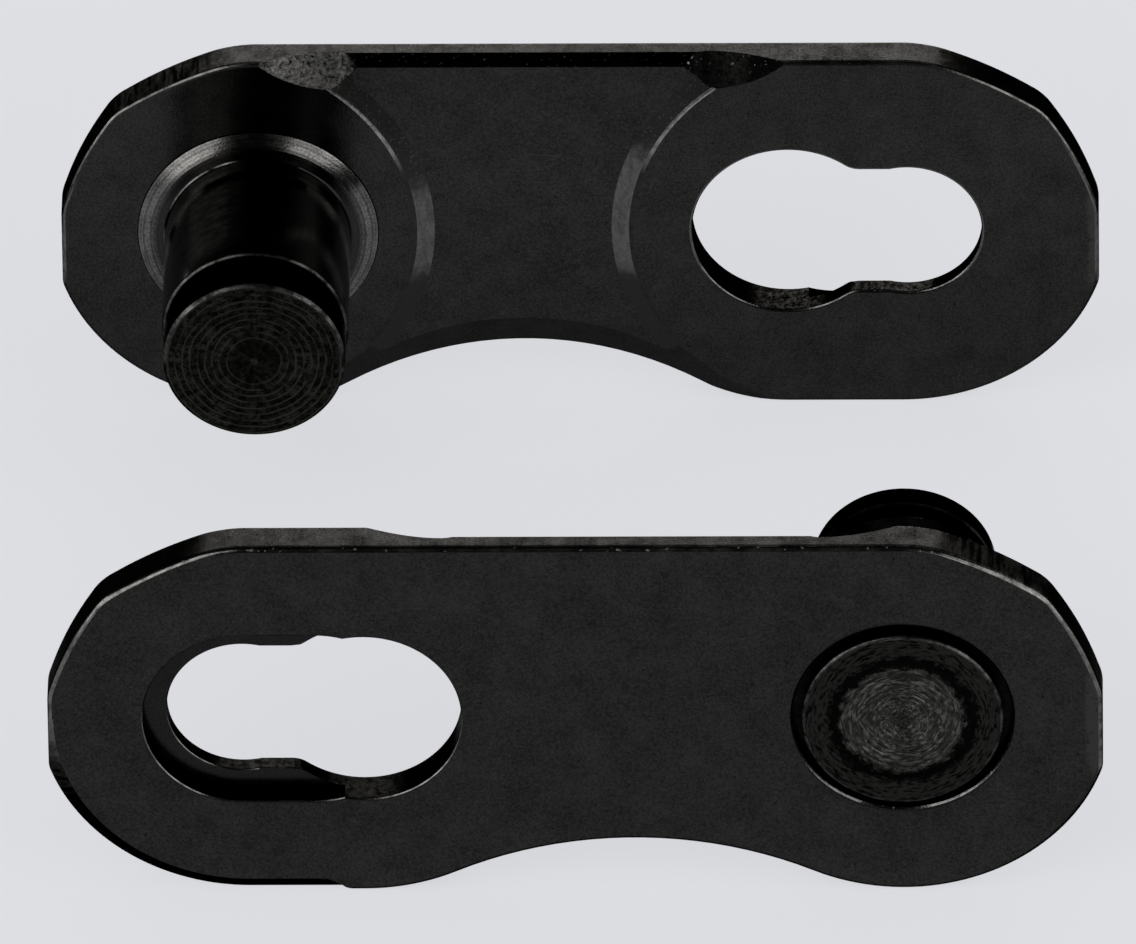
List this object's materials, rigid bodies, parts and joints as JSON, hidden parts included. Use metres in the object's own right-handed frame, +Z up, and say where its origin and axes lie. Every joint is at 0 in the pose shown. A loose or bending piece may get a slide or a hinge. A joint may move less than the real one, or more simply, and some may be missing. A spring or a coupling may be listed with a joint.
{
  "type": "chain connecting link",
  "caption": "Quick-release connecting link for a narrow bicycle chain: two identical halves, each a black stamped outer plate with a riveted pin and a keyhole slot for the other half's pin.",
  "frame": {"origin": "on the ground, midway between the two halves, under the middle of the link", "axes": "+X along the chain, +Y along the pins from the front half to the back half, +Z up"},
  "size_m": [0.0204, 0.0178, 0.008],
  "materials": {
    "plate_coating": "satin black coating",
    "pin_coating": "satin black coating"
  },
  "bodies": {
    "back_half": {"back_plate": "plate_coating", "back_pin": "pin_coating"},
    "front_half": {"front_plate": "plate_coating", "front_pin": "pin_coating"}
  },
  "joints": [
    {"name": "join", "type": "slide", "parent": "back_half", "child": "front_half", "axis": [-0.1893, 0.9819, 0], "range_m": [0, 0.01273]}
  ]
}
